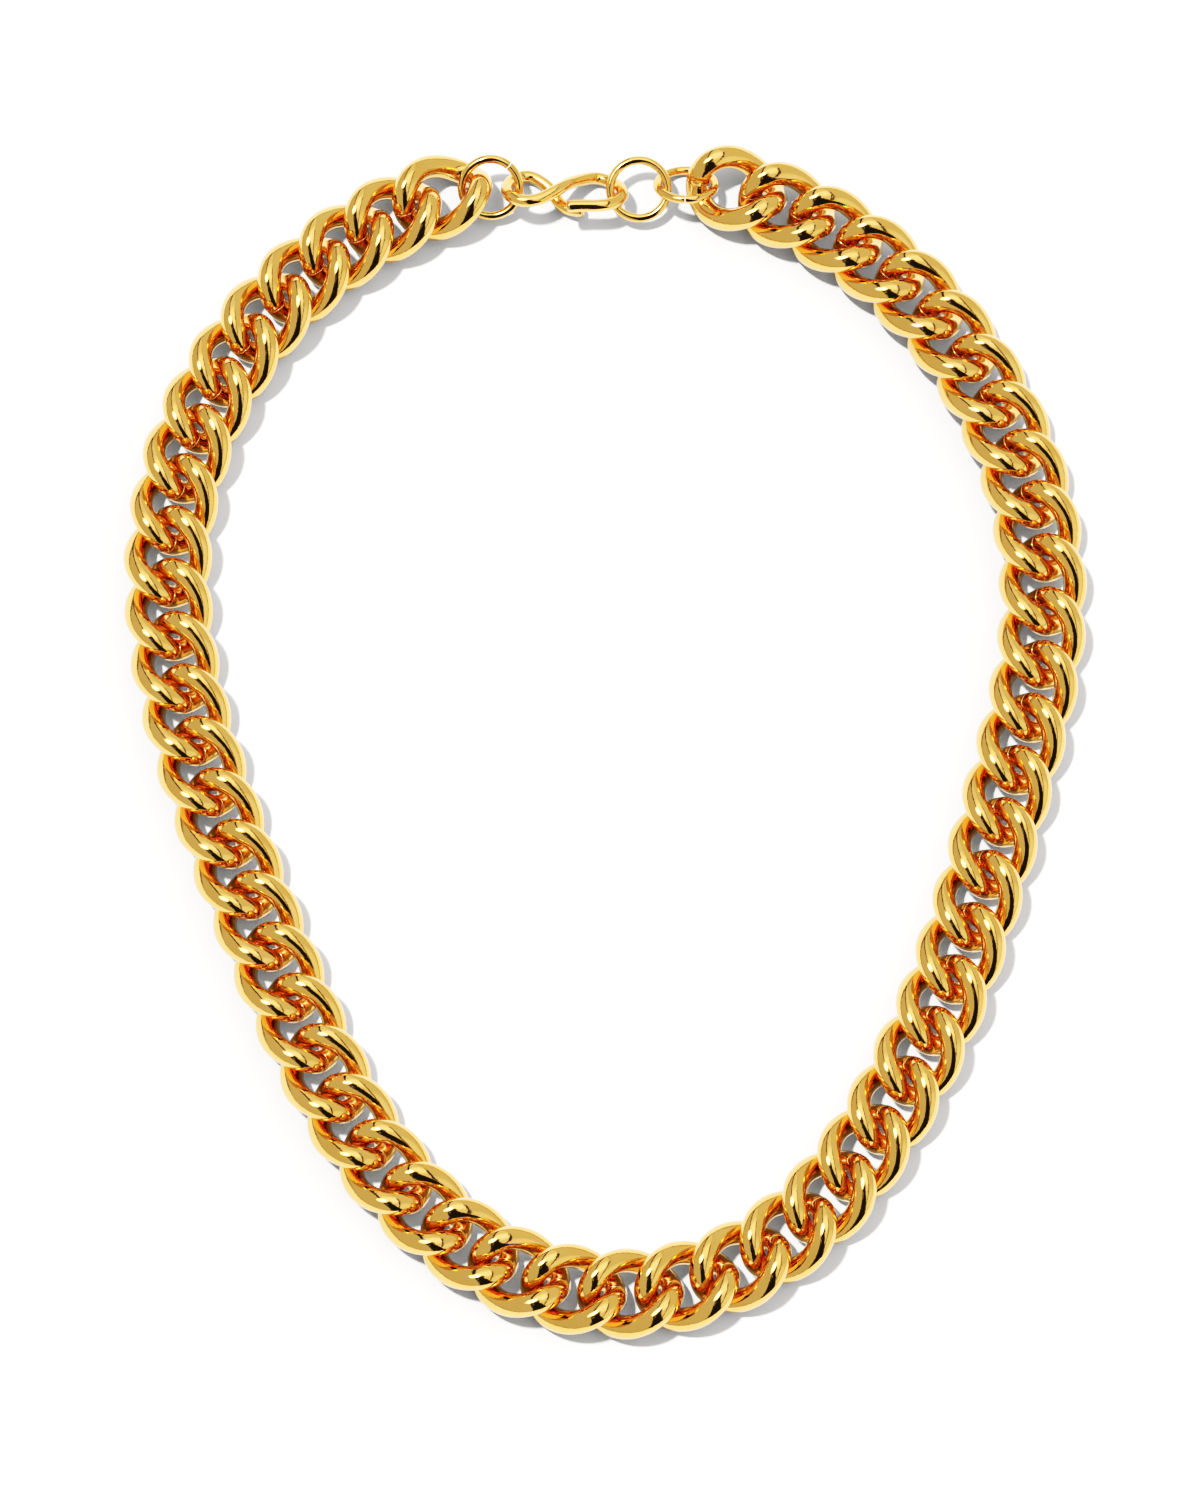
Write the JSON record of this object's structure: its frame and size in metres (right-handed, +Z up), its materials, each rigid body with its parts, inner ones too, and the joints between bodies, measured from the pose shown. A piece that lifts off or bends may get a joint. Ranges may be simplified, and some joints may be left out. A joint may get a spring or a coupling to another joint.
{
  "type": "curb chain necklace",
  "caption": "Chunky closed curb chain of twisted round-wire links, fastened at the back with a figure-eight hook clasp on round jump rings.",
  "frame": {"origin": "under the middle of the chain's outline, on the surface it lies on", "axes": "+Y towards the clasp, +Z up, away from the surface, +X to the right with the clasp at the top"},
  "size_m": [0.1376, 0.1742, 0.0076],
  "materials": {
    "link_gold": "polished yellow gold plate on solid round brass wire",
    "clasp_gold": "polished yellow gold plate on brass wire findings"
  },
  "bodies": {
    "link_27": {"link_27": "link_gold"},
    "link_01": {"link_01": "link_gold"},
    "link_02": {"link_02": "link_gold"},
    "link_03": {"link_03": "link_gold"},
    "link_04": {"link_04": "link_gold"},
    "link_05": {"link_05": "link_gold"},
    "link_06": {"link_06": "link_gold"},
    "link_07": {"link_07": "link_gold"},
    "link_08": {"link_08": "link_gold"},
    "link_09": {"link_09": "link_gold"},
    "link_10": {"link_10": "link_gold"},
    "link_11": {"link_11": "link_gold"},
    "link_12": {"link_12": "link_gold"},
    "link_13": {"link_13": "link_gold"},
    "link_14": {"link_14": "link_gold"},
    "link_15": {"link_15": "link_gold"},
    "link_16": {"link_16": "link_gold"},
    "link_17": {"link_17": "link_gold"},
    "link_18": {"link_18": "link_gold"},
    "link_19": {"link_19": "link_gold"},
    "link_20": {"link_20": "link_gold"},
    "link_21": {"link_21": "link_gold"},
    "link_22": {"link_22": "link_gold"},
    "link_23": {"link_23": "link_gold"},
    "link_24": {"link_24": "link_gold"},
    "link_25": {"link_25": "link_gold"},
    "link_26": {"link_26": "link_gold"},
    "link_28": {"link_28": "link_gold"},
    "link_29": {"link_29": "link_gold"},
    "link_30": {"link_30": "link_gold"},
    "link_31": {"link_31": "link_gold"},
    "link_32": {"link_32": "link_gold"},
    "link_33": {"link_33": "link_gold"},
    "link_34": {"link_34": "link_gold"},
    "link_35": {"link_35": "link_gold"},
    "link_36": {"link_36": "link_gold"},
    "link_37": {"link_37": "link_gold"},
    "link_38": {"link_38": "link_gold"},
    "link_39": {"link_39": "link_gold"},
    "link_40": {"link_40": "link_gold"},
    "link_41": {"link_41": "link_gold"},
    "link_42": {"link_42": "link_gold"},
    "link_43": {"link_43": "link_gold"},
    "link_44": {"link_44": "link_gold"},
    "link_45": {"link_45": "link_gold"},
    "link_46": {"link_46": "link_gold"},
    "link_47": {"link_47": "link_gold"},
    "link_48": {"link_48": "link_gold"},
    "link_49": {"link_49": "link_gold"},
    "link_50": {"link_50": "link_gold"},
    "link_51": {"link_51": "link_gold"},
    "link_52": {"link_52": "link_gold"},
    "link_53": {"link_53": "link_gold"},
    "jump_ring_left": {"jump_ring_left": "clasp_gold"},
    "catch_ring": {"catch_ring": "clasp_gold"},
    "jump_ring_right": {"jump_ring_right": "clasp_gold"},
    "hook_clasp": {"hook_clasp": "clasp_gold"}
  },
  "joints": [
    {"name": "clasp_swing", "type": "hinge", "parent": "jump_ring_left", "child": "hook_clasp", "pos_m": [-0.0133, 0.08099, 0.00383], "axis": [0.9996, -0.0278, 0.0029], "range_deg": [-18, 6]},
    {"name": "left_ring_swing", "type": "hinge", "parent": "link_53", "child": "jump_ring_left", "pos_m": [-0.01988, 0.08135, 0.00381], "axis": [-0.9994, 0.0355, -0.0027], "range_deg": [-6, 2]},
    {"name": "catch_ring_swing", "type": "hinge", "parent": "jump_ring_right", "child": "catch_ring", "pos_m": [0.00835, 0.08127, 0.00368], "axis": [0.9944, 0.102, -0.0285], "range_deg": [-6, 20]},
    {"name": "right_ring_swing", "type": "hinge", "parent": "link_01", "child": "jump_ring_right", "pos_m": [0.01532, 0.08185, 0.00381], "axis": [-0.9957, -0.092, 0.0042], "range_deg": [-18, 6]},
    {"name": "loop_spread", "type": "hinge", "parent": "link_27", "child": "link_28", "pos_m": [-0.00046, -0.08094, 0.00381], "axis": [0, 0, 1], "range_deg": [-3, 8]},
    {"name": "loop_spread_right", "type": "hinge", "parent": "link_15", "child": "link_14", "pos_m": [0.05791, -0.00563, 0.00381], "axis": [0, 0, 1], "range_deg": [-3, 7.8]},
    {"name": "loop_spread_left", "type": "hinge", "parent": "link_40", "child": "link_41", "pos_m": [-0.05849, -0.00172, 0.00381], "axis": [0, 0, 1], "range_deg": [-7.6, 2.9]},
    {"name": "link_26_swing", "type": "hinge", "parent": "link_27", "child": "link_26", "pos_m": [0.00751, -0.08059, 0.00381], "axis": [-0.0365, 0.9993, 0.0004], "range_deg": [-8, 8]},
    {"name": "link_29_swing", "type": "hinge", "parent": "link_28", "child": "link_29", "pos_m": [-0.00831, -0.0795, 0.00381], "axis": [-0.062, -0.9981, -0.0004], "range_deg": [-8, 8]},
    {"name": "link_20_swing", "type": "hinge", "parent": "link_21", "child": "link_20", "pos_m": [0.0422, -0.05043, 0.00381], "axis": [-0.2958, 0.9552, 0.0004], "range_deg": [-8, 8]},
    {"name": "link_34_swing", "type": "hinge", "parent": "link_33", "child": "link_34", "pos_m": [-0.0374, -0.05339, 0.00381], "axis": [0.2797, 0.9601, 0.0004], "range_deg": [-7.5, 7.5]},
    {"name": "link_15_swing", "type": "hinge", "parent": "link_16", "child": "link_15", "pos_m": [0.05579, -0.01325, 0.00381], "axis": [0.4999, -0.8661, -0.0005], "range_deg": [-8, 8]},
    {"name": "link_40_swing", "type": "hinge", "parent": "link_39", "child": "link_40", "pos_m": [-0.05602, -0.00929, 0.00381], "axis": [0.5399, 0.8417, 0.0005], "range_deg": [-7.5, 7.5]},
    {"name": "link_10_swing", "type": "hinge", "parent": "link_11", "child": "link_10", "pos_m": [0.0624, 0.02538, 0.00381], "axis": [-0.7402, 0.6724, 0.0007], "range_deg": [-6, 6]},
    {"name": "link_45_swing", "type": "hinge", "parent": "link_44", "child": "link_45", "pos_m": [-0.06234, 0.02959, 0.00381], "axis": [-0.782, -0.6233, -0.0007], "range_deg": [-7, 7]},
    {"name": "link_05_swing", "type": "hinge", "parent": "link_06", "child": "link_05", "pos_m": [0.04785, 0.06128, 0.00381], "axis": [0.9228, -0.3854, -0.0012], "range_deg": [-5.5, 5.5]},
    {"name": "link_49_swing", "type": "hinge", "parent": "link_48", "child": "link_49", "pos_m": [-0.05124, 0.05878, 0.00381], "axis": [-0.9245, -0.3812, -0.001], "range_deg": [-5.5, 5.5]},
    {"name": "link_01_swing", "type": "hinge", "parent": "link_02", "child": "link_01", "pos_m": [0.02284, 0.07963, 0.00381], "axis": [0.999, -0.0447, -0.0027], "range_deg": [-4.5, 4.5]},
    {"name": "link_53_swing", "type": "hinge", "parent": "link_52", "child": "link_53", "pos_m": [-0.02724, 0.07861, 0.00381], "axis": [-0.9977, -0.0681, -0.002], "range_deg": [-4.5, 4.5]},
    {"name": "link_25_swing", "type": "hinge", "parent": "link_26", "child": "link_25", "pos_m": [0.01522, -0.07852, 0.00381], "axis": [0.0851, -0.9964, -0.0004], "range_deg": [-8, 8]},
    {"name": "link_30_swing", "type": "hinge", "parent": "link_29", "child": "link_30", "pos_m": [-0.01565, -0.07634, 0.00381], "axis": [0.1095, 0.994, 0.0004], "range_deg": [-8, 8]},
    {"name": "link_24_swing", "type": "hinge", "parent": "link_25", "child": "link_24", "pos_m": [0.02233, -0.0749, 0.00381], "axis": [-0.132, 0.9913, 0.0004], "range_deg": [-7, 7]},
    {"name": "link_31_swing", "type": "hinge", "parent": "link_30", "child": "link_31", "pos_m": [-0.02227, -0.07185, 0.00381], "axis": [-0.1549, -0.9879, -0.0004], "range_deg": [-8, 8]},
    {"name": "link_23_swing", "type": "hinge", "parent": "link_24", "child": "link_23", "pos_m": [0.02858, -0.06996, 0.00381], "axis": [0.1762, -0.9844, -0.0004], "range_deg": [-6.5, 6.5]},
    {"name": "link_32_swing", "type": "hinge", "parent": "link_31", "child": "link_32", "pos_m": [-0.02809, -0.06637, 0.00381], "axis": [0.1983, 0.9801, 0.0004], "range_deg": [-7.5, 7.5]},
    {"name": "link_22_swing", "type": "hinge", "parent": "link_23", "child": "link_22", "pos_m": [0.03383, -0.06396, 0.00381], "axis": [-0.2174, 0.9761, 0.0004], "range_deg": [-7.5, 7.5]},
    {"name": "link_33_swing", "type": "hinge", "parent": "link_32", "child": "link_33", "pos_m": [-0.03312, -0.06014, 0.00381], "axis": [-0.2397, -0.9708, -0.0004], "range_deg": [-7.5, 7.5]},
    {"name": "link_21_swing", "type": "hinge", "parent": "link_22", "child": "link_21", "pos_m": [0.03827, -0.05735, 0.00381], "axis": [0.2568, -0.9665, -0.0004], "range_deg": [-8, 8]},
    {"name": "link_35_swing", "type": "hinge", "parent": "link_34", "child": "link_35", "pos_m": [-0.04108, -0.04629, 0.00381], "axis": [-0.3191, -0.9477, -0.0004], "range_deg": [-7.5, 7.5]},
    {"name": "link_19_swing", "type": "hinge", "parent": "link_20", "child": "link_19", "pos_m": [0.04567, -0.04328, 0.00381], "axis": [0.335, -0.9422, -0.0004], "range_deg": [-8, 8]},
    {"name": "link_36_swing", "type": "hinge", "parent": "link_35", "child": "link_36", "pos_m": [-0.04438, -0.03901, 0.00381], "axis": [0.3591, 0.9333, 0.0005], "range_deg": [-7.5, 7.5]},
    {"name": "link_18_swing", "type": "hinge", "parent": "link_19", "child": "link_18", "pos_m": [0.04868, -0.03593, 0.00381], "axis": [-0.3744, 0.9272, 0.0005], "range_deg": [-8, 8]},
    {"name": "link_37_swing", "type": "hinge", "parent": "link_36", "child": "link_37", "pos_m": [-0.04746, -0.03164, 0.00381], "axis": [-0.4008, -0.9162, -0.0005], "range_deg": [-7.5, 7.5]},
    {"name": "link_17_swing", "type": "hinge", "parent": "link_18", "child": "link_17", "pos_m": [0.05128, -0.02843, 0.00381], "axis": [0.4145, -0.9101, -0.0005], "range_deg": [-8, 8]},
    {"name": "link_38_swing", "type": "hinge", "parent": "link_37", "child": "link_38", "pos_m": [-0.05042, -0.02422, 0.00381], "axis": [0.4448, 0.8956, 0.0005], "range_deg": [-7.5, 7.5]},
    {"name": "link_16_swing", "type": "hinge", "parent": "link_17", "child": "link_16", "pos_m": [0.05361, -0.02086, 0.00381], "axis": [-0.456, 0.89, 0.0005], "range_deg": [-8, 8]},
    {"name": "link_39_swing", "type": "hinge", "parent": "link_38", "child": "link_39", "pos_m": [-0.0533, -0.01678, 0.00381], "axis": [-0.4914, -0.871, -0.0005], "range_deg": [-7.5, 7.5]},
    {"name": "link_13_swing", "type": "hinge", "parent": "link_14", "child": "link_13", "pos_m": [0.05999, 0.00198, 0.00381], "axis": [0.5961, -0.8029, -0.0006], "range_deg": [-8, 8]},
    {"name": "link_42_swing", "type": "hinge", "parent": "link_41", "child": "link_42", "pos_m": [-0.06052, 0.00596, 0.00381], "axis": [0.64, 0.7684, 0.0006], "range_deg": [-7.5, 7.5]},
    {"name": "link_12_swing", "type": "hinge", "parent": "link_13", "child": "link_12", "pos_m": [0.06168, 0.00968, 0.00381], "axis": [-0.6463, 0.763, 0.0006], "range_deg": [-7.5, 7.5]},
    {"name": "link_43_swing", "type": "hinge", "parent": "link_42", "child": "link_43", "pos_m": [-0.06195, 0.01377, 0.00381], "axis": [-0.6894, -0.7244, -0.0006], "range_deg": [-7.5, 7.5]},
    {"name": "link_11_swing", "type": "hinge", "parent": "link_12", "child": "link_11", "pos_m": [0.06255, 0.01751, 0.00381], "axis": [0.6947, -0.7193, -0.0007], "range_deg": [-6.5, 6.5]},
    {"name": "link_44_swing", "type": "hinge", "parent": "link_43", "child": "link_44", "pos_m": [-0.0626, 0.02167, 0.00381], "axis": [0.737, 0.6759, 0.0007], "range_deg": [-7.5, 7.5]},
    {"name": "link_09_swing", "type": "hinge", "parent": "link_10", "child": "link_09", "pos_m": [0.06125, 0.03315, 0.00381], "axis": [0.7826, -0.6225, -0.0008], "range_deg": [-6, 6]},
    {"name": "link_46_swing", "type": "hinge", "parent": "link_45", "child": "link_46", "pos_m": [-0.06106, 0.03739, 0.00381], "axis": [0.8235, 0.5673, 0.0008], "range_deg": [-6.5, 6.5]},
    {"name": "link_08_swing", "type": "hinge", "parent": "link_09", "child": "link_08", "pos_m": [0.05913, 0.04072, 0.00381], "axis": [-0.8218, 0.5697, 0.0008], "range_deg": [-6, 6]},
    {"name": "link_47_swing", "type": "hinge", "parent": "link_46", "child": "link_47", "pos_m": [-0.05876, 0.04495, 0.00381], "axis": [-0.8612, -0.5082, -0.0008], "range_deg": [-6, 6]},
    {"name": "link_07_swing", "type": "hinge", "parent": "link_08", "child": "link_07", "pos_m": [0.05615, 0.04798, 0.00381], "axis": [0.8583, -0.5132, -0.0009], "range_deg": [-6, 6]},
    {"name": "link_48_swing", "type": "hinge", "parent": "link_47", "child": "link_48", "pos_m": [-0.05545, 0.05212, 0.00381], "axis": [0.8949, 0.4462, 0.0009], "range_deg": [-6, 6]},
    {"name": "link_06_swing", "type": "hinge", "parent": "link_07", "child": "link_06", "pos_m": [0.05238, 0.05487, 0.00381], "axis": [-0.8921, 0.4519, 0.001], "range_deg": [-5.5, 5.5]},
    {"name": "link_50_swing", "type": "hinge", "parent": "link_49", "child": "link_50", "pos_m": [-0.04624, 0.06486, 0.00381], "axis": [0.9501, 0.312, 0.0011], "range_deg": [-5.5, 5.5]},
    {"name": "link_04_swing", "type": "hinge", "parent": "link_05", "child": "link_04", "pos_m": [0.04256, 0.06706, 0.00381], "axis": [-0.9496, 0.3136, 0.0013], "range_deg": [-5, 5]},
    {"name": "link_51_swing", "type": "hinge", "parent": "link_50", "child": "link_51", "pos_m": [-0.04051, 0.07026, 0.00381], "axis": [-0.9713, -0.2379, -0.0013], "range_deg": [-5.5, 5.5]},
    {"name": "link_03_swing", "type": "hinge", "parent": "link_04", "child": "link_03", "pos_m": [0.03657, 0.07212, 0.00381], "axis": [0.9719, -0.2354, -0.0016], "range_deg": [-5, 5]},
    {"name": "link_52_swing", "type": "hinge", "parent": "link_51", "child": "link_52", "pos_m": [-0.03415, 0.07488, 0.00381], "axis": [0.9875, 0.1574, 0.0016], "range_deg": [-5, 5]},
    {"name": "link_02_swing", "type": "hinge", "parent": "link_03", "child": "link_02", "pos_m": [0.02996, 0.07635, 0.00381], "axis": [-0.989, 0.1477, 0.002], "range_deg": [-4.5, 4.5]}
  ],
  "couplings": [
    {"joint": "loop_spread_right", "follows": "loop_spread", "ratio": 0.9718},
    {"joint": "loop_spread_left", "follows": "loop_spread", "ratio": -0.9445}
  ]
}
